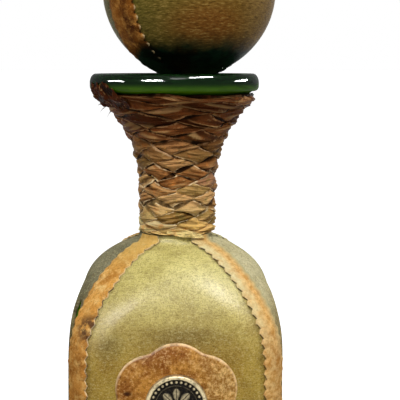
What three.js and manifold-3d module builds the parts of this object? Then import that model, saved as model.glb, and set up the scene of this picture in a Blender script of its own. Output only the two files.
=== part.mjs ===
// Leather-wrapped decanter: a square green glass bottle with a flared mouth, dressed in four hide panels
// whose corner seams lie under pinked strips, with a plaited neck, a badge on the front and a
// leather-covered ball on a cork.
// Millimetres, +Z up. The origin is the middle of the foot, and the badge faces -Y.

import * as THREE from "three";
import { mergeVertices } from "three/addons/utils/BufferGeometryUtils.js";
import Module from "manifold-3d";

const wasm = await Module();
wasm.setup();

// Clearance between a piece and what it rests on
const seatGap = 0.3;

// Glass bottle
const bodyWidth = 96.4; // across the flat faces
const bodyCorner = 16.2; // radius of the four upright corners
const wall = 3.4;
const floorThickness = 7;
const heelRadius = 6; // round bottom edge, outside
const cavityHeel = 5; // round bottom edge, inside
const sideHeight = 86.5; // straight side, from the foot of the glass to the spring of the shoulder
const shoulderRise = 55; // from the spring to the crown of the shoulder's curve
const shoulderFullness = 2.8; // exponent of that curve: 2 is an ellipse, more is fuller
const squaring = 5; // how late the round shoulder turns into the square body
const neckRadius = 15.6; // outside
const neckSweep = 5; // size of the sweep from the shoulder into the neck
const neckLength = 24.9; // straight neck
const flareHeight = 43.1;
const flareBend = 23; // how far up the flare still heads straight up
const mouthRadius = 37.3; // outside, where the flare ends under the lip
const lipOverhang = 3.2; // how far the thick lip stands out from the end of the flare
const lipHeight = 8.3;
const lipThickness = 4.8;
const lipCorner = 2.3; // round lower edge of the lip

// Leather on the body
const padThickness = 2; // sole under the glass
const panelThickness = 1.6;
const panelSeam = 0.5; // butt joint of two panels, under a strip
const stripWidth = 14.6;
const stripThickness = 1.4;
const pinkPitch = 4.8; // saw-tooth edge of pinking shears
const pinkDepth = 1.5;

// Plaited neck
const strandCount = 6; // in each direction
const strandThickness = 1.1;
const strandCover = 0.8; // share of the surface that each direction covers
const plaitRows = 16; // rows of crossings from the shoulder to the mouth
const plaitGrowth = 0.1; // how much taller the rows become up the flare
const plaitMargin = 0.8; // bare glass between the plait and the lip

// Badge on the front panel
const badgeHeight = 78.6; // middle of the badge above the table
const badgeShift = 0.3; // sideways, as sewn by hand
const patchReach = 28.9; // to the tips of the four side lobes
const patchDip = 1.5; // how much less the lobes at the top and the bottom reach
const patchNotch = 3.7; // how deep the notches beside those are cut
const patchWaist = 2.9; // how deep the notches to the left and right are cut
const notchTurn = THREE.MathUtils.degToRad(28); // direction of the notches beside the top, from the top
const lobeTurn = THREE.MathUtils.degToRad(54); // direction of the side lobes, from the top
const patchThickness = 2;
const medallionRadius = 13.9;
const medallionThickness = 2.6;
const medallionBevel = 0.9;
const medallionRim = 2; // raised border
const medallionRecess = 0.9;
const rosetteReach = 7.5;
const rosettePetals = 8;
const rosetteDepth = 0.5; // how far the petals are cut in
const rosetteRise = 0.5;

// Stopper
const ballRadius = 41; // over the leather
const ballDip = 1.5; // how far the ball reaches down into the mouth
const coverThickness = 1.4;
const coverSeam = 0.4; // butt joint of the two covers, under the band
const bandWidth = 20.5;
const bandThickness = 1.2;
const bandTurn = THREE.MathUtils.degToRad(-51); // direction of the band, from the front towards +X
const stemRadius = 7;
const stemInBall = 22;
const stemInCork = 26;
const corkLength = 34;
const corkDepth = 20; // how far the cork goes into the straight neck
const corkTaper = 1; // less radius at the bottom than at the top
const corkChamfer = 1;
const lean = THREE.MathUtils.degToRad(4.4); // the ball leans to +X on its cork

// Fineness of the round surfaces
const turnsInCircle = 24;
const shoulderSteps = 8;
const sweepSteps = 2;
const heelSteps = 3;
const flareSteps = 5;
const hollowFlareSteps = 4;
const lipSteps = 4;
const cornerSteps = 2;
const ballTurns = 24;
const ballBelts = 12;
const stemSides = 12;
const lobeSteps = 6;
const petalSteps = 4;
const pathSteps = 600;
const weldDistance = 1e-4; // closer corners are one

// Derived places
const half = bodyWidth / 2;
const footHeight = padThickness + seatGap;
const springHeight = footHeight + sideHeight;
const boreRadius = neckRadius - wall;
const panelLift = seatGap + panelThickness;
const stripLift = panelLift + seatGap + stripThickness;
const sweepRadius = neckRadius + neckSweep;
const shoulderSweep = Math.acos((sweepRadius / half) ** (shoulderFullness / 2));

// Shoulder of the glass in the plane across a face: x is the distance from the axis, y the height.
class ShoulderCurve extends THREE.Curve {
  getPoint(t, target = new THREE.Vector2()) {
    const angle = t * shoulderSweep;
    const out = Math.cos(angle) ** (2 / shoulderFullness);
    const up = Math.sin(angle) ** (2 / shoulderFullness);
    return target.set(half * out, springHeight + shoulderRise * up);
  }
}

// Wall of the glass from its foot to the neck, as curves that follow on: straight side, shoulder and
// the sweep into the neck.
function wallOutline() {
  const foot = new THREE.Vector2(half, footHeight);
  const side = new THREE.LineCurve(foot, new THREE.Vector2(half, springHeight));
  const shoulder = new ShoulderCurve();
  const start = shoulder.getPoint(1);
  const heading = shoulder.getTangent(1);
  const bend = start.clone().addScaledVector(heading, (neckRadius - start.x) / heading.x);
  const end = new THREE.Vector2(neckRadius, bend.y + neckSweep);
  const sweep = new THREE.QuadraticBezierCurve(start, bend, end);
  return [side, shoulder, sweep];
}

const wallCurves = wallOutline();
const wallTop = wallCurves.length;
const neckStart = wallCurves[wallTop - 1].getPoint(1).y;
const neckTop = neckStart + neckLength;

// The flare of the mouth, outside.
const flareCurve = new THREE.QuadraticBezierCurve(
  new THREE.Vector2(neckRadius, neckTop),
  new THREE.Vector2(neckRadius, neckTop + flareBend),
  new THREE.Vector2(mouthRadius, neckTop + flareHeight),
);

const lipBase = neckTop + flareHeight;
const lipTop = lipBase + lipHeight;
const lipRadius = mouthRadius + lipOverhang;

// Horizontal section of the wall at u: a square of the given flat, rounded by the given corner radius.
// u runs from 0 to 1 up the side, to 2 over the shoulder and to 3 through the sweep.
function wallStation(u) {
  const piece = Math.min(Math.floor(u), wallTop - 1);
  const point = wallCurves[piece].getPoint(u - piece);
  const outness = Math.max(0, (point.x - neckRadius) / (half - neckRadius));
  const flat = (half - bodyCorner) * outness ** squaring;
  return { flat, corner: point.x - flat, height: point.y };
}

// Point of a rounded square section. turn is the direction that the surface faces, from -Y towards +X.
function sectionPoint({ flat, corner, height }, turn) {
  const x = flat * Math.sign(Math.sin(turn)) + corner * Math.sin(turn);
  const y = flat * Math.sign(Math.cos(turn)) + corner * Math.cos(turn);
  return new THREE.Vector3(x, -y, height);
}

// Point on the wall of the glass, lifted off it along its normal.
function wallPoint(u, turn, lift) {
  const step = 1e-3;
  const below = wallStation(Math.max(u - step, 0));
  const above = wallStation(Math.min(u + step, wallTop));
  const here = wallStation(u);
  const widening = Math.abs(Math.sin(turn)) + Math.abs(Math.cos(turn));
  const rise = above.height - below.height;
  const growth = (above.flat - below.flat) * widening + above.corner - below.corner;
  const length = Math.hypot(rise, growth);
  const corner = here.corner + (lift * rise) / length;
  const height = here.height - (lift * growth) / length;
  return sectionPoint({ flat: here.flat, corner, height }, turn);
}

// Directions of the facets round the bottle, none of them square to a face.
const facetTurn = (2 * Math.PI) / turnsInCircle;
const turns = Array.from({ length: turnsInCircle }, (_, i) => (i + 0.5) * facetTurn);

// Values from one end to the other in even steps, both ends included.
function spread(from, to, steps) {
  return Array.from({ length: steps + 1 }, (_, i) => from + ((to - from) * i) / steps);
}

// Whole numbers from one to another, both included.
function count(from, to) {
  return Array.from({ length: to - from + 1 }, (_, i) => from + i);
}

// Places up the wall where the facets of the glass and of the panels change.
const wallRows = [0, ...spread(1, 2, shoulderSteps), ...spread(2, wallTop, sweepSteps).slice(1)];

function geometryOf(points, index) {
  const geometry = new THREE.BufferGeometry().setFromPoints(points);
  geometry.setIndex(index);
  geometry.computeVertexNormals();
  return geometry;
}

// Closed solid between two sheets of points that share their faces.
// rim is the edge of the sheets, anticlockwise from outside.
function shell(outer, inner, faces, rim) {
  const under = outer.length;
  const index = faces.flatMap(([a, b, c]) => [a, b, c, a + under, c + under, b + under]);
  rim.forEach((p, i) => {
    const q = rim[(i + 1) % rim.length];
    index.push(p, p + under, q + under, p, q + under, q);
  });
  return geometryOf([...outer, ...inner], index);
}

// Faces of a sheet of points laid out in rows from the bottom, each row from left to right.
function gridFaces(columns, rows) {
  const faces = [];
  for (let row = 0; row < rows - 1; row++) {
    for (let column = 0; column < columns - 1; column++) {
      const at = row * columns + column;
      faces.push([at, at + 1, at + columns], [at + 1, at + columns + 1, at + columns]);
    }
  }
  return faces;
}

// Edge of such a sheet, anticlockwise from the bottom left.
function gridRim(columns, rows) {
  const last = columns * rows - 1;
  const bottom = count(0, columns - 2);
  const right = count(1, rows - 1).map((row) => row * columns - 1);
  const top = bottom.map((column) => last - column);
  const left = right.map((at) => last - at);
  return [...bottom, ...right, ...top, ...left];
}

// Closed solid through rings of points, from its bottom cap to its top cap.
function loft(rings) {
  const size = rings[0].length;
  const points = rings.flat();
  const index = [];
  for (let ring = 0; ring < rings.length - 1; ring++) {
    for (let i = 0; i < size; i++) {
      const a = ring * size + i;
      const b = ring * size + ((i + 1) % size);
      index.push(a, b, b + size, a, b + size, a + size);
    }
  }
  const bottom = points.length;
  const last = (rings.length - 1) * size;
  for (let i = 0; i < size; i++) {
    const next = (i + 1) % size;
    index.push(bottom, next, i, bottom + 1, last + i, last + next);
  }
  points.push(new THREE.Vector3(0, 0, rings[0][0].z), new THREE.Vector3(0, 0, rings.at(-1)[0].z));
  return geometryOf(points, index);
}

function solidOf(geometry) {
  const bare = geometry.clone();
  bare.deleteAttribute("normal");
  bare.deleteAttribute("uv");
  const merged = mergeVertices(bare, weldDistance);
  const vertProperties = new Float32Array(merged.attributes.position.array);
  const triVerts = new Uint32Array(merged.index.array);
  return new wasm.Manifold(new wasm.Mesh({ numProp: 3, vertProperties, triVerts }));
}

function geometryFrom(solid) {
  const mesh = solid.getMesh();
  const geometry = new THREE.BufferGeometry();
  geometry.setAttribute("position", new THREE.BufferAttribute(mesh.vertProperties, 3));
  geometry.setIndex(new THREE.BufferAttribute(mesh.triVerts, 1));
  geometry.computeVertexNormals();
  return geometry;
}

// First geometry without the others.
function cut(geometry, ...tools) {
  return geometryFrom(tools.reduce((solid, tool) => solid.subtract(solidOf(tool)), solidOf(geometry)));
}

function overlap(geometry, tool) {
  return geometryFrom(solidOf(geometry).intersect(solidOf(tool)));
}

function join(geometry, added) {
  return geometryFrom(solidOf(geometry).add(solidOf(added)));
}

// Upright cylinder between two heights.
function uprightCylinder(radius, from, to, sides) {
  const geometry = new THREE.CylinderGeometry(radius, radius, to - from, sides);
  return geometry.rotateX(Math.PI / 2).translate(0, 0, (from + to) / 2);
}

function material(color, roughness, metalness = 0) {
  return new THREE.MeshStandardMaterial({ color, roughness, metalness });
}

const greenGlass = material("#2f4a1a", 0.06);
const oliveHide = material("#94834a", 0.55);
const tanHide = material("#b98c50", 0.8);
const brownThong = material("#7a4f2b", 0.5);
const badgeHide = material("#a67438", 0.65);
const oldPewter = material("#8d897c", 0.4, 0.9);
const ballHide = material("#6b552a", 0.5);
const turnedWood = material("#a97c4f", 0.6);
const corkBark = material("#c29a68", 0.9);

function named(name, geometry, look) {
  const mesh = new THREE.Mesh(geometry, look);
  mesh.name = name;
  return mesh;
}

// Glass bottle

function heelRings(station, radius, from, to) {
  return spread(from, to, heelSteps).map((angle) => {
    const corner = station.corner - radius * (1 - Math.sin(angle));
    const height = station.height + radius * (1 - Math.cos(angle));
    return turns.map((turn) => sectionPoint({ flat: station.flat, corner, height }, turn));
  });
}

function roundRing(radius, height) {
  return turns.map((turn) => sectionPoint({ flat: 0, corner: radius, height }, turn));
}

function flareRings(steps, thicknessAt) {
  return spread(0, 1, steps).map((t) => {
    const heading = flareCurve.getTangent(t);
    const inward = new THREE.Vector2(-heading.y, heading.x);
    const point = flareCurve.getPoint(t).addScaledVector(inward, thicknessAt(t));
    return roundRing(point.x, point.y);
  });
}

// Rings along an arc about a middle in the plane through the axis.
function arcRings(middle, radius, from, to, steps) {
  return spread(from, to, steps).map((angle) => {
    return roundRing(middle.x + radius * Math.cos(angle), middle.y + radius * Math.sin(angle));
  });
}

// Thick lip on the end of the flare: round lower edge, upright outside and half round top.
function lipRings() {
  const round = lipThickness / 2;
  const lower = new THREE.Vector2(lipRadius - lipCorner, lipBase + lipCorner);
  const upper = new THREE.Vector2(lipRadius - round, lipTop - round);
  return [
    ...arcRings(lower, lipCorner, -Math.PI / 2, 0, cornerSteps),
    ...arcRings(upper, round, 0, Math.PI, lipSteps),
  ];
}

function glassBottle() {
  const wallRing = (u, lift) => turns.map((turn) => wallPoint(u, turn, lift));
  const flat = half - bodyCorner;
  const foot = { flat, corner: bodyCorner, height: footHeight };
  const floor = { flat, corner: bodyCorner - wall, height: footHeight + floorThickness };
  const shoulderRows = wallRows.slice(1);
  const hollowRows = shoulderRows.toReversed().filter((_, i) => i % 2 === 0);
  const outside = [
    ...heelRings(foot, heelRadius, 0, Math.PI / 2),
    ...shoulderRows.map((u) => wallRing(u, 0)),
    ...flareRings(flareSteps, () => 0),
  ];
  const inside = [
    ...flareRings(hollowFlareSteps, (t) => THREE.MathUtils.lerp(wall, lipThickness, t)).reverse(),
    ...hollowRows.map((u) => wallRing(u, -wall)),
    ...heelRings(floor, cavityHeel, Math.PI / 2, 0),
  ];
  return named("glass_bottle", loft([...outside, ...lipRings(), ...inside]), greenGlass);
}

// Leather on the body

function basePad() {
  const reach = half + panelLift;
  const corner = bodyCorner + panelLift;
  const flat = reach - corner;
  const outline = new THREE.Shape();
  outline.absarc(flat, -flat, corner, -Math.PI / 2, 0);
  outline.absarc(flat, flat, corner, 0, Math.PI / 2);
  outline.absarc(-flat, flat, corner, Math.PI / 2, Math.PI);
  outline.absarc(-flat, -flat, corner, Math.PI, Math.PI * 1.5);
  const options = { depth: padThickness, bevelEnabled: false, curveSegments: turnsInCircle / 8 };
  return named("base_pad", new THREE.ExtrudeGeometry(outline, options), oliveHide);
}

// Layer over one face of the wall, from corner seam to corner seam and between two lifts, as it lies on
// the front.
function faceLayer(from, to) {
  const quarter = Math.PI / 4;
  const bothWays = [...turns.map((turn) => turn - 2 * Math.PI), ...turns];
  const between = bothWays.filter((turn) => Math.abs(turn) < quarter);
  const sheet = (lift) =>
    wallRows.flatMap((u) => {
      const station = wallStation(u);
      const seam = quarter - panelSeam / 2 / (station.corner + lift);
      return [-seam, ...between, seam].map((turn) => wallPoint(u, turn, lift));
    });
  const columns = between.length + 2;
  const faces = gridFaces(columns, wallRows.length);
  return shell(sheet(to), sheet(from), faces, gridRim(columns, wallRows.length));
}

function panels() {
  const geometry = faceLayer(seatGap, panelLift);
  return ["front", "right", "back", "left"].map((side, i) => {
    const panel = named(`panel_${side}`, geometry, oliveHide);
    panel.rotation.z = (i * Math.PI) / 2;
    return panel;
  });
}

// Strip with saw-tooth edges. place gives the point at a tooth count along, a distance across and
// a lift.
function pinkedStrip(place, teeth, width, lifts) {
  const valley = width / 2 - pinkDepth;
  const across = [-valley, 0, valley];
  const columns = across.length;
  const rows = teeth + 1;
  const tips = count(0, teeth - 1);
  const sheet = (lift) => [
    ...count(0, teeth).flatMap((row) => across.map((distance) => place(row, distance, lift))),
    ...tips.map((tooth) => place(tooth + 0.5, -width / 2, lift)),
    ...tips.map((tooth) => place(tooth + 0.5, width / 2, lift)),
  ];
  const leftValley = (row) => row * columns;
  const rightValley = (row) => row * columns + columns - 1;
  const leftTip = (tooth) => columns * rows + tooth;
  const rightTip = (tooth) => columns * rows + teeth + tooth;
  const faces = gridFaces(columns, rows);
  for (const tooth of tips) {
    faces.push([leftTip(tooth), leftValley(tooth), leftValley(tooth + 1)]);
    faces.push([rightValley(tooth), rightTip(tooth), rightValley(tooth + 1)]);
  }
  const bottom = across.map((_, column) => column);
  const right = tips.flatMap((tooth) => [rightTip(tooth), rightValley(tooth + 1)]);
  const top = bottom.slice(1).map((column) => rightValley(teeth) - column);
  const left = tips.toReversed().flatMap((tooth) => [leftTip(tooth), leftValley(tooth)]).slice(0, -1);
  return shell(sheet(lifts[1]), sheet(lifts[0]), faces, [...bottom, ...right, ...top, ...left]);
}

// Places u up the corner of the wall, at even distances of about one tooth.
function toothPlaces(lift) {
  const quarter = Math.PI / 4;
  const samples = spread(0, wallTop, pathSteps);
  const path = samples.map((u) => wallPoint(u, quarter, lift));
  const lengths = [0];
  for (let i = 1; i < path.length; i++) {
    lengths.push(lengths[i - 1] + path[i].distanceTo(path[i - 1]));
  }
  const teeth = Math.round(lengths.at(-1) / pinkPitch);
  const at = (distance) => {
    const i = Math.max(1, lengths.findIndex((length) => length >= distance - weldDistance));
    const share = (distance - lengths[i - 1]) / (lengths[i] - lengths[i - 1]);
    return THREE.MathUtils.lerp(samples[i - 1], samples[i], share);
  };
  return { teeth, placeOf: (row) => at((row * lengths.at(-1)) / teeth) };
}

function cornerStrips() {
  const under = panelLift + seatGap;
  const { teeth, placeOf } = toothPlaces(stripLift);
  const place = (row, distance, lift) => {
    const u = placeOf(row);
    const turn = Math.PI / 4 + distance / (wallStation(u).corner + lift);
    return wallPoint(u, turn, lift);
  };
  const geometry = pinkedStrip(place, teeth, stripWidth, [under, stripLift]);
  return ["front_right", "back_right", "back_left", "front_left"].map((corner, i) => {
    const strip = named(`corner_strip_${corner}`, geometry, tanHide);
    strip.rotation.z = (i * Math.PI) / 2;
    return strip;
  });
}

// Plaited neck

// Line up the outside of the neck and the flare that the plait covers.
function plaitLine() {
  const line = new THREE.CurvePath();
  line.add(new THREE.LineCurve(new THREE.Vector2(neckRadius, neckStart), flareCurve.getPoint(0)));
  line.add(flareCurve);
  return line;
}

const plaitCurve = plaitLine();
const plaitShare = 1 - plaitMargin / plaitCurve.getLength();
const plaitBottom = neckStart + seatGap;
const plaitTop = plaitCurve.getPointAt(plaitShare).y;

// Point of the plait where a right-hand strand place and a left-hand one cross. Whole numbers are the
// middles of the strands, and the difference of the two counts the rows up the neck. lift is measured
// off the seat of the plait.
function plaitPoint(rightPlace, leftPlace, lift) {
  const row = (leftPlace - rightPlace) / plaitRows;
  const climb = row * (1 - plaitGrowth) + row * row * plaitGrowth;
  const u = THREE.MathUtils.clamp(climb * plaitShare, 0, 1);
  const seat = plaitCurve.getPointAt(u);
  const heading = plaitCurve.getTangentAt(u);
  const facetAngle = (strandCover * Math.PI) / strandCount / 2;
  const facetDip = seat.x * (1 - Math.cos(facetAngle));
  const off = seatGap + facetDip + lift;
  const turn = ((rightPlace + leftPlace) * Math.PI) / strandCount;
  const corner = seat.x + off * heading.y;
  const height = seat.y - off * heading.x;
  return sectionPoint({ flat: 0, corner, height }, turn);
}

// Strand that goes over and under the strands of the other direction in turn.
function strandGeometry(rightHanded) {
  const edge = strandCover / 2;
  const own = [-edge, edge];
  const rows = count(0, plaitRows);
  const others = rows.flatMap((row) => [row - edge, row + edge]);
  const step = strandThickness + seatGap;
  const levels = rows.flatMap((row) => {
    const over = (row % 2 === 0) === rightHanded;
    return over ? [step, step] : [0, 0];
  });
  const rightPlaces = rightHanded ? own : others.map((place) => -place).toReversed();
  const leftPlaces = rightHanded ? others : own;
  const order = rightHanded ? levels : levels.toReversed();
  const sheet = (lift) =>
    leftPlaces.flatMap((leftPlace, row) =>
      rightPlaces.map((rightPlace, column) => {
        const level = order[rightHanded ? row : column];
        return plaitPoint(rightPlace, leftPlace, level + lift);
      }),
    );
  const columns = rightPlaces.length;
  const faces = gridFaces(columns, leftPlaces.length);
  return shell(sheet(strandThickness), sheet(0), faces, gridRim(columns, leftPlaces.length));
}

// Strands of both directions, trimmed level at the shoulder and under the lip.
function plait() {
  const reach = 4 * mouthRadius;
  const trim = new THREE.BoxGeometry(reach, reach, plaitTop - plaitBottom);
  trim.translate(0, 0, (plaitTop + plaitBottom) / 2);
  const strands = [];
  for (const hand of ["right", "left"]) {
    const geometry = overlap(strandGeometry(hand === "right"), trim);
    for (let i = 0; i < strandCount; i++) {
      const strand = named(`neck_strand_${hand}_${i + 1}`, geometry, brownThong);
      strand.rotation.z = (i * 2 * Math.PI) / strandCount;
      strands.push(strand);
    }
  }
  return strands;
}

// Badge on the front panel

const patchUnder = panelLift + seatGap;
const patchLift = patchUnder + patchThickness;

// Tips and notches of the patch in turn, clockwise from the tip at the top.
function patchStations() {
  const halfRound = [
    [patchReach - patchDip, 0],
    [patchReach - patchNotch, notchTurn],
    [patchReach, lobeTurn],
    [patchReach - patchWaist, Math.PI / 2],
    [patchReach, Math.PI - lobeTurn],
    [patchReach - patchNotch, Math.PI - notchTurn],
  ];
  return [0, Math.PI].flatMap((start) =>
    halfRound.map(([reach, turn]) => {
      return new THREE.Vector2(reach * Math.sin(start + turn), reach * Math.cos(start + turn));
    }),
  );
}

// Middle of the circle through three points.
function circleMiddle(a, b, c) {
  const toB = b.clone().sub(a);
  const toC = c.clone().sub(a);
  const fourAreas = 2 * toB.cross(toC);
  const x = (toC.y * toB.lengthSq() - toB.y * toC.lengthSq()) / fourAreas;
  const y = (toB.x * toC.lengthSq() - toC.x * toB.lengthSq()) / fourAreas;
  return new THREE.Vector2(a.x + x, a.y + y);
}

// Scalloped outline, each lobe an arc from notch to notch over its tip.
function lobedOutline() {
  const stations = patchStations();
  const outline = new THREE.Shape();
  for (let tip = 0; tip < stations.length; tip += 2) {
    const before = stations.at(tip - 1);
    const after = stations[tip + 1];
    const middle = circleMiddle(before, stations[tip], after);
    const first = before.clone().sub(middle);
    const last = after.clone().sub(middle);
    outline.absarc(middle.x, middle.y, first.length(), first.angle(), last.angle(), true);
  }
  return outline;
}

// The patch follows the panel under it, cut to the scalloped outline.
function badgePatch() {
  const options = { depth: bodyWidth, bevelEnabled: false, curveSegments: lobeSteps / 2 };
  const knife = new THREE.ExtrudeGeometry(lobedOutline(), options).rotateX(Math.PI / 2);
  knife.translate(badgeShift, 0, badgeHeight);
  return named("badge_patch", overlap(faceLayer(patchUnder, patchLift), knife), badgeHide);
}

function rosette() {
  const steps = rosettePetals * petalSteps;
  const points = count(0, steps - 1).map((i) => {
    const angle = (i * 2 * Math.PI) / steps;
    const radius = rosetteReach * (1 - rosetteDepth * (0.5 - 0.5 * Math.cos(rosettePetals * angle)));
    return new THREE.Vector2(radius * Math.cos(angle), radius * Math.sin(angle));
  });
  const options = { depth: 2 * rosetteRise, bevelEnabled: false };
  return new THREE.ExtrudeGeometry(new THREE.Shape(points), options);
}

function medallion() {
  const field = medallionThickness - medallionRecess;
  const inner = medallionRadius - medallionRim;
  const profile = [
    new THREE.Vector2(0, 0),
    new THREE.Vector2(medallionRadius, 0),
    new THREE.Vector2(medallionRadius, medallionThickness - medallionBevel),
    new THREE.Vector2(medallionRadius - medallionBevel, medallionThickness),
    new THREE.Vector2(inner, medallionThickness),
    new THREE.Vector2(inner - medallionRecess / 2, field),
    new THREE.Vector2(0, field),
  ];
  const disc = new THREE.LatheGeometry(profile, turnsInCircle).rotateX(Math.PI / 2);
  const boss = rosette().translate(0, 0, field - rosetteRise);
  const geometry = join(disc, boss).rotateX(Math.PI / 2);
  const mesh = named("medallion", geometry, oldPewter);
  const patchFront = wallPoint(0, turns[0], patchLift).y;
  mesh.position.set(badgeShift, patchFront - seatGap, badgeHeight);
  return mesh;
}

// Stopper

const corkBottom = neckTop - corkDepth;
const corkTop = corkBottom + corkLength;
const corkMiddle = (corkBottom + corkTop) / 2;
const ballHeight = (lipTop + ballRadius - ballDip - corkMiddle) / Math.cos(lean);
const coreRadius = ballRadius - coverThickness - seatGap;
const stemBottom = corkTop - corkMiddle - stemInCork;
const stemTop = ballHeight - coreRadius + stemInBall;

// Room for the stem, in the leaning frame of the ball.
function stemRoom(from, to) {
  return uprightCylinder(stemRadius + seatGap, from, to, stemSides);
}

function ballOf(radius) {
  const geometry = new THREE.SphereGeometry(radius, ballTurns, ballBelts);
  return geometry.rotateX(Math.PI / 2).translate(0, 0, ballHeight);
}

function ballCore() {
  return named("ball_core", cut(ballOf(coreRadius), stemRoom(0, stemTop + seatGap)), turnedWood);
}

// Half covers, on either side of the plane of the band.
function ballCovers() {
  const covering = cut(ballOf(ballRadius), ballOf(coreRadius + seatGap), stemRoom(0, ballHeight));
  const reach = 4 * ballRadius;
  return [1, -1].map((side) => {
    const room = new THREE.BoxGeometry(reach, reach, reach);
    room.translate(0, (side * (reach + coverSeam)) / 2, ballHeight);
    room.rotateZ(bandTurn - Math.PI / 2);
    const geometry = overlap(covering, room);
    return named(side > 0 ? "ball_cover_right" : "ball_cover_left", geometry, ballHide);
  });
}

// Pinked band over the seam, from the stem up over the ball and down to the stem again.
function ballBand() {
  const under = ballRadius + seatGap;
  const over = under + bandThickness;
  const away = new THREE.Vector3(Math.sin(bandTurn), -Math.cos(bandTurn), 0);
  const up = new THREE.Vector3(0, 0, 1);
  const aside = new THREE.Vector3().crossVectors(away, up);
  const end = Math.PI - Math.asin((stemRadius + 2 * seatGap) / under);
  const teeth = Math.round((2 * end * over) / pinkPitch);
  const place = (row, distance, radius) => {
    const along = -end + (2 * end * row) / teeth;
    const across = distance / over;
    const point = new THREE.Vector3();
    point.addScaledVector(up, Math.cos(along) * Math.cos(across));
    point.addScaledVector(away, Math.sin(along) * Math.cos(across));
    point.addScaledVector(aside, Math.sin(across));
    return point.multiplyScalar(radius).addScaledVector(up, ballHeight);
  };
  return named("ball_band", pinkedStrip(place, teeth, bandWidth, [under, over]), tanHide);
}

function stopperStem() {
  return named("stopper_stem", uprightCylinder(stemRadius, stemBottom, stemTop, stemSides), turnedWood);
}

// Ball, covers and stem lean together about the middle of the cork.
function leaningBall() {
  const group = new THREE.Group();
  group.position.z = corkMiddle;
  group.rotation.y = lean;
  group.add(ballCore(), ...ballCovers(), ballBand(), stopperStem());
  group.updateMatrixWorld(true);
  return group;
}

// Tapered cork in the bore of the neck, with a leaning hole for the stem.
function stopperCork(ball) {
  const topRadius = boreRadius - seatGap;
  const bottomRadius = topRadius - corkTaper;
  const profile = [
    new THREE.Vector2(0, corkBottom),
    new THREE.Vector2(bottomRadius - corkChamfer, corkBottom),
    new THREE.Vector2(bottomRadius, corkBottom + corkChamfer),
    new THREE.Vector2(topRadius, corkTop - corkChamfer),
    new THREE.Vector2(topRadius - corkChamfer, corkTop),
    new THREE.Vector2(0, corkTop),
  ];
  const plug = new THREE.LatheGeometry(profile, turnsInCircle).rotateX(Math.PI / 2);
  const hole = stemRoom(stemBottom - seatGap, stemTop).applyMatrix4(ball.matrixWorld);
  return named("stopper_cork", cut(plug, hole), corkBark);
}

const root = new THREE.Group();
const ball = leaningBall();
root.add(glassBottle(), basePad(), ...panels(), ...cornerStrips(), ...plait());
root.add(badgePatch(), medallion(), ball, stopperCork(ball));

export default root;
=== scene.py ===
"""Leather-wrapped decanter with a plaited neck and a ball stopper."""

from math import acos, asin, ceil, cos, pi, radians, sin, sqrt, tan

import bpy
import numpy as np
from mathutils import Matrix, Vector

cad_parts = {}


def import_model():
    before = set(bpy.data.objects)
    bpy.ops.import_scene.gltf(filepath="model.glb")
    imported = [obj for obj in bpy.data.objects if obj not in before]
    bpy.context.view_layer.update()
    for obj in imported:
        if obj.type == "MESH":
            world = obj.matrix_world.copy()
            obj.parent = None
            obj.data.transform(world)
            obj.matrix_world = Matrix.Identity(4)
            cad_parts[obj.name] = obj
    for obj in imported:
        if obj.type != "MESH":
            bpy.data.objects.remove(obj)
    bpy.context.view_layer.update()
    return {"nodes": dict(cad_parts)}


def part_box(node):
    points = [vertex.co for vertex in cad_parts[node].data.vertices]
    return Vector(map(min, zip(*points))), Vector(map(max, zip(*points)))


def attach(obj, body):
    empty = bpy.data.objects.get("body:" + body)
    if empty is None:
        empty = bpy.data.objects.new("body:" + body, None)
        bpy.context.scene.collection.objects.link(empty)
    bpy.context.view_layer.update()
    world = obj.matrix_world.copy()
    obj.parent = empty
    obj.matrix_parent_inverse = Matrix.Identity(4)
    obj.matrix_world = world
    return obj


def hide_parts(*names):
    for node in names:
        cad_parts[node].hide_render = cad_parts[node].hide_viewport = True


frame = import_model()

MM = 0.001
QUARTER = pi / 4
SMOOTHED = radians(50)
UP = np.array([0, 0, 1])

# Glass bottle
BOTTLE_COLUMNS = 96
HALF = 48.2 * MM
CORNER = 16.2 * MM
WALL = 3.4 * MM
FLOOR_THICKNESS = 7 * MM
HEEL = 6 * MM
CAVITY_HEEL = 5 * MM
FOOT = 2.3 * MM
SPRING = 88.8 * MM
RISE = 55 * MM
FULLNESS = 2.8
SQUARING = 5
NECK = 15.6 * MM
SWEEP = 5 * MM
NECK_LENGTH = 24.9 * MM
FLARE_HEIGHT = 43.1 * MM
FLARE_BEND = 23 * MM
MOUTH = 37.3 * MM
LIP_RADIUS = 40.5 * MM
LIP_HEIGHT = 8.3 * MM
LIP = 4.8 * MM
LIP_CORNER = 2.3 * MM
LIP_SHOULDER = (2.9 * MM, 4.4 * MM)

# Leather on the body
GAP = 0.3 * MM
PAD = 2 * MM
PAD_ROUND = 0.6 * MM
PANEL = 1.6 * MM
PANEL_SEAM = 0.5 * MM
PANEL_WAVE = 0.18 * MM
STRIP_WIDTH = 14.6 * MM
STRIP = 1.2 * MM
STRIP_FEATHER = 0.8 * MM
TEAR_PLACE = (0.030, -0.0474, 0.114)
TEAR_SIZE = (0.0055, 0.008, 0.006)
PINK_PITCH = 4.8 * MM
PINK_DEPTH = 1.5 * MM
PINK_LEAST = 0.75
PINK_WANDER = 0.18 * MM
STRIP_SHARES = np.array([-1, -0.94, -0.82, -0.64, -0.44, -0.22, 0, 0.22, 0.44, 0.64, 0.82, 0.94, 1])
STRIP_THINNED = 2.2 * MM

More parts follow.
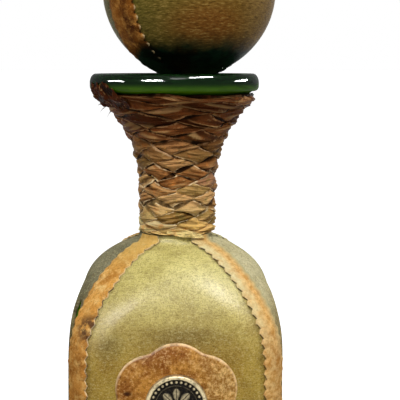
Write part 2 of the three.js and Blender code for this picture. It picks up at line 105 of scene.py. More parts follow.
# Plaited neck
STRANDS = 6
STRAND = 0.7 * MM
STRAND_CROWN = 0.95 * MM
STRAND_STEP = 1.05 * MM
STRAND_HALF = 0.56
STRAND_TURNED_END = 1.4
STRAND_STEPS = (420, 17)
LEAF_SIZE = (4.7 * MM, 3.2 * MM)
EDGES_APART = 40 * MM
PLAIT_ROWS = 16
PLAIT_GROWTH = 0.1
PLAIT_MARGIN = 0.8 * MM
PLAIT_UNEVEN = 0.5
PLAIT_PADDING = 2 * MM
FLAP = 0.5 * MM
FLAP_LENGTH = 40 * MM
FLAP_TURN = (-88, -35)
FLAP_TOP = ((0, 0.15, 0.72, 0.85, 1), (0.013, 0.0166, 0.0172, 0.014, 0.009))
FLAP_BOTTOM = ((0, 0.3, 0.8, 1), (0.0065, 0.004, 0.003, 0.004))
FLAP_HELD = 3.4 * MM
LOOSE_TURN = (-12, 44)
LOOSE_HALF = 1.9 * MM
FIBRE_RADIUS = 0.28 * MM

# Fibres of torn leather: distance down from the lip, direction, rise and length
FIBRES = (
    (8 * MM, -78, -0.3, 2.4 * MM),
    (6 * MM, -84, 0.4, 1.8 * MM),
    (10 * MM, -66, -0.8, 2 * MM),
    (13 * MM, 66, 0.4, 2.4 * MM),
    (15 * MM, 70, 0.9, 2 * MM),
)

# Badge
BADGE_HEIGHT = 78.6 * MM
BADGE_SHIFT = 0.3 * MM
PATCH_REACH = 28.9 * MM
PATCH_DIP = 1.5 * MM
PATCH_NOTCH = 3.7 * MM
PATCH_WAIST = 2.9 * MM
NOTCH_TURN = radians(28)
LOBE_TURN = radians(54)
PATCH = 2 * MM
PATCH_ROUND = 0.9 * MM
PATCH_PUFF = 0.9 * MM
PATCH_PUFF_REACH = 7 * MM
MEDALLION = 13.9 * MM
MEDALLION_THICKNESS = 2.6 * MM
MEDALLION_RIM = 2 * MM
MEDALLION_RECESS = 0.9 * MM
RELIEF = 0.8 * MM
BEADS = 32
BEAD_RING = 11 * MM
BEAD = 0.85 * MM
THIN_RING = 9.3 * MM
BOSS = 1.7 * MM

# Petals in a ring: count, shift, start, end, half width and rise
PETALS = (
    (8, 0, 1.6 * MM, 8.2 * MM, 2.2 * MM, 0.65 * MM),
    (8, 0.5, 6.2 * MM, 8.6 * MM, 0.6 * MM, 0.4 * MM),
)

# Stopper
BALL = 41 * MM
BALL_DIP = 1.5 * MM
COVER = 1.4 * MM
COVER_SEAM = 0.4 * MM
BAND_WIDTH = 20.5 * MM
BAND = 1 * MM
BAND_TURN = radians(-51)
STEM = 7 * MM
STEM_CHAMFER = 0.6 * MM
STEM_IN_BALL = 22 * MM
STEM_IN_CORK = 26 * MM
CORK_LENGTH = 34 * MM
CORK_DEPTH = 20 * MM
CORK_TAPER = 1 * MM
CORK_CHAMFER = 1 * MM
LEAN = radians(4.4)

# Windows that show in the gloss: direction, distance, height and watts
WINDOWS = ((-84, 0.8, 0.42, 64), (-30, 0.75, 0.62, 160), (51, 0.42, 0.8, 160), (104, 0.8, 0.42, 118))
WINDOW_SHAPE = {"shape": "ELLIPSE", "size": 0.4, "size_y": 0.07}

# Rest of the stage
FLOOR_REACH = 40
SUN_ANGLE = radians(70)
LAMPS_AIM = (0, 0, 0.15)
WHITE = (1, 1, 1, 1)

# Hides of the panels: colours of the lower part and of the shoulder, and weight of the gloss. The shoulder
# colours are lighter, partly painted light from above.
HIDES = {
    "olive": (((164, 130, 52), (188, 158, 70)), ((198, 184, 106), (216, 204, 126)), 0.045),
    # The left side hide is painted darker and the right one lighter: partly their own colours, partly
    # painted light from the right.
    "shaded_dark": (((100, 88, 50), (120, 106, 62)), ((122, 120, 96), (146, 142, 114)), 0),
    "lit_pale": (((142, 120, 70), (162, 140, 86)), ((200, 192, 150), (218, 210, 168)), 0),
}
PANELS = {"front": "olive", "right": "lit_pale", "back": "olive", "left": "shaded_dark"}
CORNERS = ("front_right", "back_right", "back_left", "front_left")

# Camera
CAMERA_PLACE = (0, -0.45, 0.228)
CAMERA_PITCH = radians(8.2)
CAMERA_YAW = radians(1.56)
CAMERA_LENS = 83.6


# Shape of the bottle

def stacked(*parts):
    return np.stack(np.broadcast_arrays(*parts), -1)


def around(reach, turn, height):
    """Points about the axis, which face turn, from -Y towards +X."""
    return stacked(reach * np.sin(turn), -reach * np.cos(turn), height)


def circle(count):
    return 2 * pi * np.arange(count) / count


def distances(line):
    """Distance along a line to its points."""
    return np.r_[0, np.cumsum(np.linalg.norm(np.diff(line, axis=0), axis=1))]


def headings(line):
    heading = np.gradient(line, axis=0)
    return heading / np.linalg.norm(heading, axis=1, keepdims=True)


def bezier(points, t):
    start, bend, end = np.array(points)
    t = t[..., None]
    return start * (1 - t) ** 2 + bend * 2 * t * (1 - t) + end * t**2


def shoulder_point(t):
    """Distance from the axis and height on the shoulder, across a face."""
    angle = t * SHOULDER_SWEEP
    out = np.cos(angle) ** (2 / FULLNESS)
    up = np.sin(angle) ** (2 / FULLNESS)
    return stacked(HALF * out, SPRING + RISE * up)


def sweep_points():
    """Start, bend and end of the sweep into the neck."""
    start = shoulder_point(1)
    heading = start - shoulder_point(1 - 1e-6)
    bend = start + heading * (NECK - start[0]) / heading[0]
    return start, bend, (NECK, bend[1] + SWEEP)


SHOULDER_SWEEP = acos(((NECK + SWEEP) / HALF) ** (FULLNESS / 2))
SWEEP_POINTS = sweep_points()
NECK_START = SWEEP_POINTS[2][1]
NECK_TOP = NECK_START + NECK_LENGTH
LIP_BASE = NECK_TOP + FLARE_HEIGHT
FLARE_POINTS = ((NECK, NECK_TOP), (NECK, NECK_TOP + FLARE_BEND), (MOUTH, LIP_BASE))
PANEL_LIFT = GAP + PANEL
STRIP_UNDER = PANEL_LIFT + 0.1 * MM
WALL_TOP = 3
WALL_STEP = 0.001
SIDE_SHARES = np.linspace(-1, 1, BOTTLE_COLUMNS // 4, endpoint=False)


def wall_station(u):
    """Flat, corner and height of the wall: u goes to 1 up the side, 2 on the shoulder, 3 in the sweep."""
    side = stacked(np.full_like(u, HALF), FOOT + (SPRING - FOOT) * u)
    shoulder = shoulder_point(np.clip(u - 1, 0, 1))
    sweep = bezier(SWEEP_POINTS, np.clip(u - 2, 0, 1))
    point = np.where(u[..., None] < 1, side, np.where(u[..., None] < 2, shoulder, sweep))
    outness = np.maximum(0, (point[..., 0] - NECK) / (HALF - NECK))
    flat = (HALF - CORNER) * outness**SQUARING
    return flat, point[..., 0] - flat, point[..., 1]


def lifted(u, turn, lift):
    """Station of the wall, lifted along its normal where it faces turn."""
    above = np.array(wall_station(np.minimum(u + WALL_STEP, WALL_TOP)))
    flat_growth, corner_growth, rise = above - wall_station(np.maximum(u - WALL_STEP, 0))
    growth = flat_growth * (np.abs(np.sin(turn)) + np.abs(np.cos(turn))) + corner_growth
    length = np.hypot(rise, growth)
    flat, corner, height = wall_station(u)
    return flat, corner + lift * rise / length, height - lift * growth / length


def corner_point(u, turn, lift):
    """Point on a corner of the wall."""
    flat, corner, height = lifted(u, turn, lift)
    return stacked(flat + corner * np.sin(turn), -flat - corner * np.cos(turn), height)


def facing(across, flat, corner):
    """Direction that a place across a side faces, past the flat and round the corner."""
    return np.sign(across) * np.maximum(np.abs(across) - flat, 0) / corner


def side_point(across, turn, flat, corner, height):
    x = np.clip(across, -flat, flat) + corner * np.sin(turn)
    return stacked(x, -flat - corner * np.cos(turn), height)


def face_point(u, share, lift, seam=0):
    """Point on the front wall. share is -1 to 1 between the middles of two corners."""
    flat, corner, _ = wall_station(u)
    across = share * (flat + corner * QUARTER - seam / 2)
    turn = facing(across, flat, corner)
    _, corner, height = lifted(u, turn, lift)
    return side_point(across, turn, flat, corner, height)


def turned(points, angle):
    """Points turned about the axis."""
    c, s = cos(angle), sin(angle)
    return points @ np.array([[c, s, 0], [-s, c, 0], [0, 0, 1]])


def four_sides(side):
    return np.concatenate([turned(side, i * pi / 2) for i in range(4)])


def square_ring(flat, corner, height):
    """Ring round a square of that flat and corner radius."""
    across = SIDE_SHARES * (flat + corner * QUARTER)
    return four_sides(side_point(across, facing(across, flat, corner), flat, corner, height))


def wall_ring(u, lift):
    return four_sides(face_point(np.full_like(SIDE_SHARES, u), SIDE_SHARES, lift))


def round_ring(radius, height, columns=BOTTLE_COLUMNS):
    return around(radius, -QUARTER + circle(columns), height)


def ripple(points, size, seed, waves=14):
    """Smooth noise of about -1 to 1, with features of that size."""
    random = np.random.default_rng(seed)
    total = np.zeros(points.shape[:-1])
    for _ in range(waves):
        direction = random.normal(size=points.shape[-1])
        direction *= 2 * pi / size / np.linalg.norm(direction) * random.uniform(0.6, 1.4)
        total += np.sin(points @ direction + random.uniform(0, 2 * pi))
    return total / sqrt(waves / 2) / 1.6


# Meshes

def new_object(name, data):
    holder = bpy.data.objects.new(name, data)
    bpy.context.scene.collection.objects.link(holder)
    return holder


def mesh_object(name, points, faces, look):
    mesh = bpy.data.meshes.new(name)
    mesh.from_pydata(points.tolist(), [], faces, shade_flat=False)
    mesh.validate()
    mesh.set_sharp_from_angle(angle=SMOOTHED)
    mesh.materials.append(LOOKS[look])
    return new_object(name, mesh)


def quads(index):
    return stacked(index[:-1, :-1], index[:-1, 1:], index[1:, 1:], index[1:, :-1]).reshape(-1, 4)


def rim_quads(faces, under):
    """Faces that join the open edges of a sheet to those of the one under it."""
    first, second = faces.ravel(), np.roll(faces, -1, axis=1).ravel()
    is_open = ~np.isin(first * under + second, second * under + first)
    first, second = first[is_open], second[is_open]
    return stacked(first, first + under, second + under, second)


def sheet_piece(name, outer, inner, look, marks, turn=0, kept=None):
    """Closed piece between two sheets of points. marks are by place, and kept says which cells remain."""
    rows, columns = outer.shape[:2]
    under = rows * columns
    top = quads(np.arange(under).reshape(rows, columns))
    if kept is not None:
        top = top[kept.ravel()]
    faces = np.r_[top, (top + under)[:, ::-1], rim_quads(top, under)]
    points = turned(np.r_[outer.reshape(-1, 3), inner.reshape(-1, 3)], turn)
    used, faces = np.unique(faces, return_inverse=True)
    piece = mesh_object(name, points[used], faces.reshape(-1, 4).tolist(), look)
    for key, values in marks.items():
        mark(piece, key, np.tile(np.broadcast_to(values, outer.shape[:2]).ravel(), 2)[used])
    return piece


def ring_piece(name, rings, look):
    """Closed piece through rings of points, capped at both ends."""
    rings = np.array(rings)
    count, columns = rings.shape[:2]
    index = np.arange(count * columns).reshape(count, columns)
    faces = [*quads(np.c_[index, index[:, :1]]).tolist(), index[0, ::-1].tolist(), index[-1].tolist()]
    return mesh_object(name, rings.reshape(-1, 3), faces, look)


def mark(piece, name, values):
    """Stores a number for each point, which the looks read by name."""
    attribute = piece.data.attributes.new(name, "FLOAT", "POINT")
    attribute.data.foreach_set("value", np.asarray(values, np.float32).ravel())


def dress(piece, slot, *nodes, body="bottle"):
    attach(piece, body)
    if nodes:
        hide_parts(*nodes)
    return piece


# Looks

def colour(paint):
    """Linear colour from ordinary 0 to 255 values. A socket stays as it is."""
    if not isinstance(paint, tuple):
        return paint
    shares = [value / 255 for value in paint]
    linear = [s / 12.92 if s <= 0.04045 else ((s + 0.055) / 1.055) ** 2.4 for s in shares]
    return (*linear, 1)


class Look:
    """Nodes of a material or the world, with its paint laid in steps. Noise and bumps are in millimetres.

    A value is a socket, a number, the name of an axis or a mark, or a noise's size, detail and roughness.
    """

    def __init__(self, name, paint=None, kind="materials", shader="Principled BSDF"):
        self.owner = getattr(bpy.data, kind).new(name)
        self.owner.use_nodes = True
        self.tree = self.owner.node_tree
        self.shader = self.tree.nodes[shader]
        self.place = self.add("TexCoord").outputs["Object"]
        self.paint = paint
        self.bumps = None

    def add(self, kind, inputs=None, **settings):
        node = self.tree.nodes.new("ShaderNode" + kind)
        for key, value in settings.items():
            setattr(node, key, value)
        for key, value in (inputs or {}).items():
            self.feed(node.inputs[key], value)
        return node

    def feed(self, socket, value):
        if isinstance(value, bpy.types.NodeSocket):
            self.tree.links.new(value, socket)
        else:
            socket.default_value = value

    def value(self, source):
        if isinstance(source, tuple):
            return self.noise(*source)
        if not isinstance(source, str):
            return source
        if source in ("X", "Y", "Z"):
            return self.add("SeparateXYZ", {0: self.place}).outputs[source]
        return self.add("Attribute", attribute_name=source).outputs["Fac"]

    def stretched(self, stretch):
        return self.add("VectorMath", {0: self.place, 1: stretch}, operation="MULTIPLY").outputs[0]

    def noise(self, size, detail=3, roughness=0.6, stretch=None):
        place = self.stretched(stretch) if stretch else self.place
        inputs = {"Vector": place, "Scale": 1 / (size * MM), "Detail": detail, "Roughness": roughness}
        return self.add("TexNoise", inputs).outputs["Fac"]

    def cells(self, size):
        return self.add("TexVoronoi", {"Vector": self.place, "Scale": 1 / (size * MM)}).outputs["Distance"]

    def ramp(self, value, start, end, most=1, least=0):
        """Goes from the least at the start to the most at the end, which may be the lower of the two."""
        if start > end:
            start, end, most, least = end, start, least, most
        limits = {"From Min": start, "From Max": end, "To Min": least, "To Max": most}
        inputs = {"Value": self.value(value), **limits}
        return self.add("MapRange", inputs, interpolation_type="SMOOTHSTEP").outputs["Result"]

    def maths(self, operation, first, *others):
        for other in others:
            inputs = {0: self.value(first), 1: self.value(other)}
            first = self.add("Math", inputs, operation=operation).outputs[0]
        return first

    def times(self, *values):
        return self.maths("MULTIPLY", *values)

    def plus(self, *values):
        return self.maths("ADD", *values)

    def mixed(self, share, first, second):
        inputs = {0: self.value(share), 6: colour(first), 7: colour(second)}
        return self.add("Mix", inputs, data_type="RGBA").outputs[2]

    def near(self, point, radius, soft, share, stretch=(1, 1, 1)):
        """A share within a radius of a point, with a soft edge. A stretch under 1 lengthens it."""
        inputs = {0: self.stretched(stretch), 1: [p * s for p, s in zip(point, stretch)]}
        distance = self.add("VectorMath", inputs, operation="DISTANCE").outputs["Value"]
        return self.times(self.ramp(distance, radius + soft, radius), share)

    def shown(self):
        """1 for rays from the camera, from gloss and through glass."""
        rays = self.add("LightPath").outputs
        kinds = ("Camera", "Glossy", "Transmission")
        return self.maths("MAXIMUM", *(rays[f"Is {kind} Ray"] for kind in kinds))

    def lay(self, paint, value, *limits):
        """Lays a paint over the others, by a share or by the ramp of a value."""
        share = self.ramp(value, *limits) if limits else value
        self.paint = self.mixed(share, self.paint, paint)

    def bump(self, height, distance, strength):
        inputs = {"Height": self.value(height), "Distance": distance * MM, "Strength": strength}
        if self.bumps is not None:
            inputs["Normal"] = self.bumps
        self.bumps = self.add("Bump", inputs).outputs["Normal"]

    def done(self, **inputs):
        """Feeds the shader its paint, bumps and these inputs, with a _ for each space of a name."""
        for key, value in {"Base_Color": self.paint, "Normal": self.bumps, **inputs}.items():
            if value is not None:
                self.feed(self.shader.inputs[key.replace("_", " ")], value)
        return self.owner

    def waxed(self, gloss, gloss_roughness, **inputs):
        """Done, with all of its gloss in a thin coat."""
        coat = {"Coat_Weight": gloss, "Coat_Roughness": gloss_roughness, "Coat_Normal": self.bumps}
        return self.done(Specular_IOR_Level=0, **coat, **inputs)


def green_glass():
    look = Look("green_glass", (34, 80, 2))
    streaks = look.noise(14, 3, stretch=(1, 1, 5))
    look.lay((88, 134, 12), streaks)
    # Painted darker towards the lip's bead: partly its thicker glass, partly painted shade where less light
    # passes through.
    look.lay(look.mixed(streaks, (3, 14, 5), (14, 42, 12)), "Z", 0.2165, 0.2205)
    # Painted shade: the glass under the leather wrap is painted almost black.
    look.lay((9, 6, 3), "wrapped")
    look.bump(look.noise(11, 3, stretch=(1, 1, 1.6)), 0.9, 0.3)
    return look.waxed(0.06, 0.05, Roughness=0.07, IOR=1.5, Transmission_Weight=0.07)


def olive_hide(name, low, high, gloss):
    look = Look(name, low[0])
    broad = look.ramp((20, 4), 0.35, 0.65)
    look.lay(low[1], broad)
    # Painted lighter towards the shoulder: partly the hide's own tone, partly painted light from above.
    look.lay(look.mixed(broad, *high), "Z", 0.092, 0.138)
    look.lay((124, 98, 44), (6, 4), 0.45, 0.75, 0.35)
    # Painted shade: a dark line where the leather creases above the badge, with no fold in the shape.
    fold = look.near((0.003, -0.0495, 0.1085), 0.001, 0.007, 0.5, (0.3, 1, 1))
    look.lay((96, 72, 30), fold)
    # Painted shade: a dark patch on the left of the front panel, beside the strip.
    shade_patch = look.near((-0.029, -0.046, 0.104), 0.001, 0.009, 0.6)
    look.lay((84, 66, 36), shade_patch)
    grain = look.noise(1.2, 3, 0.7, (0.7, 0.7, 1.5))
    look.lay((230, 218, 156), grain, 0.5, 0.3, 0.32)
    look.lay((92, 72, 30), grain, 0.5, 0.7, 0.34)
    pebble = look.cells(0.55)
    look.lay((226, 212, 150), pebble, 0.4, 0, 0.3)
    look.lay((86, 66, 28), pebble, 0.45, 0.85, 0.35)
    speck = look.noise(2.4, 3, 0.8)
    look.lay((90, 62, 28), speck, 0.66, 0.74, 0.6)
    look.lay((236, 220, 156), speck, 0.32, 0.26, 0.4)
    # Painted shade: a darker line on the panel just inside the edges of the corner strips.
    look.lay((80, 56, 26), "seam", 7.3 * MM, 6.6 * MM, 0.2)
    look.bump((12, 4), 0.5, 0.35)
    look.bump(pebble, 0.09, 0.6)
    look.bump((0.8, 3, 0.7), 0.06, 0.5)
    return look.waxed(gloss, 0.4, Roughness=0.8)


def split_paint(look, dark, mid, pale):
    """Mottled paint of a rough split hide."""
    look.paint = dark
    look.lay(mid, (15, 5, 0.65), 0.34, 0.64)
    look.lay(pale, (4.5, 5, 0.7), 0.46, 0.68, 0.75)
    look.lay(dark, (3, 6, 0.75), 0.53, 0.7, 0.55)
    fine = look.noise(1.1, 4, 0.8)
    look.lay(pale, fine, 0.54, 0.68, 0.5)
    look.lay((92, 54, 24), fine, 0.47, 0.32, 0.65)
    return look.paint


def tan_hide():
    look = Look("tan_hide")
    high = split_paint(look, (178, 116, 46), (222, 164, 80), (246, 212, 140))
    split_paint(look, (158, 100, 40), (212, 148, 70), (240, 192, 112))
    # The strips are painted lighter towards the top and towards the right: partly the hide's own colour,
    # partly painted light from above and from the right.
    up_and_right = look.plus("Z", look.times("X", 0.6))
    right = look.ramp("X", -0.01, 0.01)
    upper_right = look.times(right, look.ramp(up_and_right, 0.12, 0.15))
    look.lay(high, up_and_right, 0.06, 0.13)
    top = look.mixed((2.4, 4, 0.7), (180, 146, 66), (236, 214, 132))
    look.lay(top, "Z", 0.132, 0.146, 0.5)
    speckle = look.ramp((2.4, 4, 0.7), 0.36, 0.64)
    look.lay(look.mixed(speckle, (192, 136, 70), (252, 214, 146)), look.times(right, 0.5))
    patchy = look.ramp((5, 4, 0.7), 0.36, 0.6, 1, 0.5)
    nap = look.times(upper_right, look.ramp("across", -0.1, 0.7, 0.85), patchy)
    look.lay(look.mixed((1.2, 3, 0.7), (204, 186, 126), (242, 234, 188)), nap)
    outer_grey = look.times(upper_right, look.ramp("across", -0.05, -0.95, 0.95))
    look.lay((188, 182, 138), outer_grey)
    stain = look.near((-0.0388, -0.0455, 0.1115), 0.003, 0.006, 0.85)
    look.lay((66, 42, 38), look.times(stain, look.ramp((3, 4), 0.35, 0.55)))
    line = look.ramp("edge", 0.19, 0.03, 0.8)
    frayed = look.times(line, look.ramp(right, 0, 1, 0.1, 0.75))
    look.lay((242, 222, 178), frayed)
    # Painted shadow along the lower flank of each tooth on the strips at +X, and dark dashes along the edges
    # of the strips at -X.
    dashes = look.ramp((2.6, 3), 0.52, 0.58)
    shade_and_dashes = look.times(line, look.mixed(right, dashes, look.value("lower")))
    look.lay((56, 34, 14), shade_and_dashes)
    look.bump((5, 5, 0.7), 0.5, 0.5)
    look.bump((1, 4, 0.8), 0.2, 0.6)
    return look.done(Roughness=0.7, Specular_IOR_Level=0.02)


def stain_and_shade_bottom(look):
    """Paints the lower part of the ball almost black: partly a dark stain, partly painted shade."""
    spared = look.ramp("X", -0.013, -0.024, 0.019)
    height = look.plus("Z", look.plus(look.times((16, 3), 0.012), spared))
    black = look.mixed(look.ramp((14, 3), 0.4, 0.6), (7, 13, 6), (16, 38, 24))
    look.lay(black, height, 0.2495, 0.2395)


def band_hide():
    look = Look("band_hide")
    split_paint(look, (76, 36, 10), (154, 94, 34), (216, 152, 74))
    stain_and_shade_bottom(look)
    line = look.ramp("edge", 0.35, 0.1, 0.9)
    tips = look.times(line, look.ramp("tooth", 0.45, 0.85), look.ramp("Z", 0.23, 0.236))
    tips = look.times(tips, look.ramp((6, 3), 0.36, 0.56, 1, 0.25))
    look.lay((196, 172, 128), tips)
    # Painted shade in the notches between the teeth.
    look.lay((22, 12, 4), look.times(line, look.ramp("tooth", 0.5, 0.15)))
    look.bump((4, 5, 0.7), 0.4, 0.5)
    look.bump((0.9, 4, 0.8), 0.2, 0.5)
    return look.done(Roughness=0.6, Specular_IOR_Level=0.02)


def brown_thong():
    look = Look("brown_thong", (252, 200, 108))
    look.lay((255, 244, 176), "tone")
    # Painted darker and redder up the neck: partly the thong's own colour, partly painted shade under the
    # flare.
    look.lay(look.mixed("tone", (158, 100, 50), (236, 186, 120)), "Z", 0.149, 0.168)
    look.lay(look.mixed("tone", (132, 100, 46), (204, 168, 98)), "hue", 0.7, 0.76, 0.8)
    look.lay((176, 136, 120), "hue", 0.08, 0.04, 0.3)
    look.lay(look.mixed("tone", (80, 38, 16), (162, 96, 48)), "Z", 0.174, 0.202)
    # Painted shade in the troughs of the creases and painted highlight on their ridges.
    crease = look.plus("crease", look.ramp((1.4, 4, 0.7), 0.3, 0.7, 0.5, -0.5))
    look.lay((56, 26, 8), crease, -0.3, -1.2, 0.5)
    look.lay((236, 192, 128), crease, 0.5, 1.3, 0.4)
    mottle = look.noise(5.5, 4, 0.65)
    high = look.ramp("Z", 0.17, 0.205)
    look.lay(look.mixed(high, (150, 134, 70), (74, 52, 22)), mottle, 0.56, 0.66, 0.55)
    look.lay(look.mixed(high, (226, 146, 72), (120, 54, 20)), mottle, 0.43, 0.32, 0.6)
    stain = look.ramp((5, 5, 0.7), 0.54, 0.72, 0.5)
    look.lay((74, 36, 12), look.times(stain, look.ramp("Z", 0.15, 0.172, 1, 0.3)))
    # Painted shade in the troughs of the folds and painted highlight on their ridges.
    look.lay((72, 36, 14), "fold", -0.25, -1, 0.5)
    look.lay((238, 190, 124), "fold", 0.35, 1.1, 0.42)
    # Painted shade on the lower side of each leaf.
    look.lay((46, 20, 6), "upper", 0.1, -0.95, 0.25)
    # Painted highlight: pale patches along the edges of the leaves.
    rim_highlight = look.times(look.ramp("edge", 0.2, 0.02), look.ramp((2.6, 3), 0.38, 0.54))
    look.lay(look.mixed(look.ramp("Z", 0.17, 0.2), (252, 226, 176), (206, 150, 98)), rim_highlight)
    # Painted shade: darker still at the top, under the flare.
    look.lay((40, 14, 4), "Z", 0.19, 0.212, 0.25)
    # Painted shadow where a strand goes under another.
    under = look.ramp("level", 0.46, 0.22, 0.97)
    under = look.times(under, look.ramp((7, 3), 0.36, 0.56, 1, 0.6), look.ramp("Z", 0.15, 0.172, 1, 0.55))
    look.lay((24, 11, 4), under)
    look.bump("fold", 0.6, 0.5)
    look.bump(crease, 0.5, 0.6)
    look.bump((1.6, 5, 0.7), 0.5, 0.6)
    return look.done(Roughness=0.42, Specular_IOR_Level=0.02)


def badge_hide():
    look = Look("badge_hide", (134, 76, 26))
    look.lay((198, 138, 60), (14, 4), 0.35, 0.65)
    look.lay((134, 72, 24), (4.5, 4, 0.65), 0.46, 0.64, 0.7)
    fine = look.noise(1.6, 4, 0.75)
    look.lay((236, 190, 116), fine, 0.5, 0.66, 0.6)
    look.lay((90, 46, 16), fine, 0.48, 0.34, 0.65)
    nick = look.near((-0.0215, -0.052, 0.0835), 0.0004, 0.0012, 0.85, (0.6, 1, 1))
    look.lay((40, 20, 10), nick)
    worn = look.mixed(look.ramp(fine, 0.36, 0.64), (168, 116, 46), (250, 214, 138))
    look.lay(worn, "X", 0, 0.025, 0.55)
    # Painted highlight: a pale line along the patch's edges, strongest along the upper edges.
    edge = look.times(look.ramp("edge", 0.045, 0, 0.75), look.ramp((7, 3), 0.4, 0.58, 1, 0.35))
    look.lay((240, 212, 164), look.times(edge, look.ramp("Z", 0.066, 0.094, 1, 0.2)))
    look.bump((3, 5, 0.7), 0.3, 0.45)
    look.bump(look.cells(0.9), 0.15, 0.5)
    return look.waxed(0.03, 0.4, Roughness=0.5)


def old_pewter():
    look = Look("old_pewter", (14, 12, 9))
    wear = look.plus("relief", look.times((1, 4, 0.7), 0.5))
    look.lay((206, 190, 150), wear, 0.65, 1.3)
    look.lay((60, 52, 38), (1.4, 3, 0.7), 0.52, 0.4, 0.55)
    look.bump((0.8, 4, 0.7), 0.15, 0.6)
    metal = look.ramp(wear, 0.7, 1.25, 0.8, 0.1)
    roughness = look.ramp(wear, 0.7, 1.25, 0.35, 0.6)
    return look.done(Metallic=metal, Roughness=roughness, Specular_IOR_Level=0.1)


def ball_hide():
    look = Look("ball_hide", (90, 80, 28))
    look.lay((112, 96, 40), (26, 4), 0.35, 0.65)
    look.lay((122, 84, 34), "X", -0.02, 0.03, 0.7)
    look.lay((92, 92, 32), "X", -0.004, -0.026, 0.5)
    rusty = look.near((0.0135, -0.036, 0.246), 0.004, 0.013, 0.5, (0.7, 0.5, 1.3))
    look.lay((128, 66, 24), rusty)
    look.lay((150, 122, 76), "X", 0.027, 0.04, 0.5)
    fine = look.noise(1.8, 4, 0.7, (0.7, 0.7, 3))
    look.lay((172, 142, 76), fine, 0.5, 0.68, 0.65)
    look.lay((52, 38, 12), fine, 0.5, 0.33, 0.65)
    stain_and_shade_bottom(look)
    look.bump(fine, 0.25, 0.6)
    look.bump(look.cells(0.8), 0.15, 0.4)
    return look.done(Roughness=0.42, Specular_IOR_Level=0.02)


def turned_wood():
    look = Look("turned_wood", (120, 82, 46))
    grain = look.noise(2.2, 4, 0.7, (1, 1, 0.08))
    look.lay((176, 132, 84), grain, 0.3, 0.7)
    look.bump(grain, 0.2, 0.4)
    return look.done(Roughness=0.5)


def cork_bark():
    look = Look("cork_bark", (176, 132, 84))
    look.lay((206, 166, 116), (6, 4))
    pores = look.ramp(look.noise(2.4, 4, 0.7, (1, 1, 0.5)), 0.58, 0.66)
    look.lay((92, 60, 34), pores)
    look.bump(look.times(pores, -1), 0.6, 0.8)
    return look.done(Roughness=0.85)


# Glass

def arc(middle, radii, first, last, count):
    """Points of an arc in the plane through the axis."""
    angle = np.linspace(first, last, count)
    return np.array(middle) + np.array(radii) * stacked(np.cos(angle), np.sin(angle))


def glass():
    def heel_rings(corner, radius, base):
        levels = arc((corner - radius, base + radius), radius, -pi / 2, 0, 7)
        return [square_ring(HALF - CORNER, *level) for level in levels]

    rows = np.r_[np.linspace(1, 2, 25), np.linspace(2, WALL_TOP, 7)[1:]]
    steps = np.linspace(0, 1, 25)
    outline = bezier(FLARE_POINTS, steps)
    heading = headings(outline)
    inward = stacked(-heading[:, 1], heading[:, 0])
    hollow = outline + inward * (WALL + (LIP - WALL) * steps)[:, None]
    top = LIP_BASE + LIP_HEIGHT
    across, down = LIP_SHOULDER
    lower = arc((LIP_RADIUS - LIP_CORNER, LIP_BASE + LIP_CORNER), LIP_CORNER, -pi / 2, 0, 8)
    outer = arc((LIP_RADIUS - across, top - down), LIP_SHOULDER, 0, pi / 2, 12)
    inner = arc((LIP_RADIUS - across, top - LIP / 2), (LIP - across, LIP / 2), pi / 2, pi, 9)
    rings = heel_rings(CORNER, HEEL, FOOT)
    first = len(rings) + np.sum(rows < 2)
    rings += [wall_ring(u, 0) for u in rows]
    last = len(rings) + steps.size - 1
    rings += [round_ring(*place) for place in [*outline, *lower, *outer, *inner[1:], *hollow[::-1]]]
    rings += [wall_ring(u, -WALL) for u in rows[::-1]]
    rings += heel_rings(CORNER - WALL, CAVITY_HEEL, FOOT + FLOOR_THICKNESS)[::-1]
    piece = ring_piece("bottle_glass", rings, "glass")
    # wrapped marks the glass under the leather, which the look paints almost black as painted shade.
    wrapped = np.zeros((len(rings), BOTTLE_COLUMNS))
    wrapped[first:last] = 1
    mark(piece, "wrapped", wrapped)
    return dress(piece, "green_glass", "glass_bottle")


# Leather on the body

def pad():
    corner = CORNER + PANEL_LIFT
    levels = [(PAD_ROUND, 0), (0, PAD_ROUND), (0, PAD - PAD_ROUND), (PAD_ROUND, PAD)]
    rings = [square_ring(HALF - CORNER, corner - inset, height) for inset, height in levels]
    dress(ring_piece("leather_sole", rings, "olive"), "olive_hide", "base_pad")


def torn_away(seat):
    """Which cells of the left panel remain round its tear."""
    middle = (seat[:-1, :-1] + seat[1:, 1:]) / 2
    off = (middle - TEAR_PLACE) / TEAR_SIZE
    return np.linalg.norm(off, axis=-1) > 1 + 0.35 * ripple(middle, 5 * MM, 19)


def panel(side, turn, seed, look):
    rows = np.r_[np.linspace(0, 1, 41), np.linspace(1, 2, 61)[1:], np.linspace(2, WALL_TOP, 11)[1:]]
    columns = np.linspace(-1, 1, 97)
    if side == "left":
        rows = np.union1d(rows, np.linspace(1.1, 1.5, 61))
        columns = np.union1d(columns, np.linspace(0.45, 0.9, 61))
    u, share = np.meshgrid(rows, columns, indexing="ij")
    seat = face_point(u, share, PANEL_LIFT, PANEL_SEAM)
    wave = PANEL_WAVE * (ripple(seat, 30 * MM, seed) - 1)
    outer = face_point(u, share, PANEL_LIFT + wave, PANEL_SEAM)
    inner = face_point(u, share, GAP, PANEL_SEAM)
    kept = torn_away(seat) if side == "left" else None
    flat, corner, _ = wall_station(u)
    # seam is the distance in from the middle of the corners; the olive looks paint a shade line beside the
    # strips by it.
    marks = {"seam": (1 - np.abs(share)) * (flat + (corner + PANEL_LIFT) * QUARTER)}
    piece = sheet_piece(f"hide_panel_{side}", outer, inner, look, marks, turn, kept)
    return dress(piece, "olive_hide", f"panel_{side}")


def saw(along):
    """0 at each whole number and 1 half way between."""
    return 1 - np.abs(2 * (along % 1) - 1)


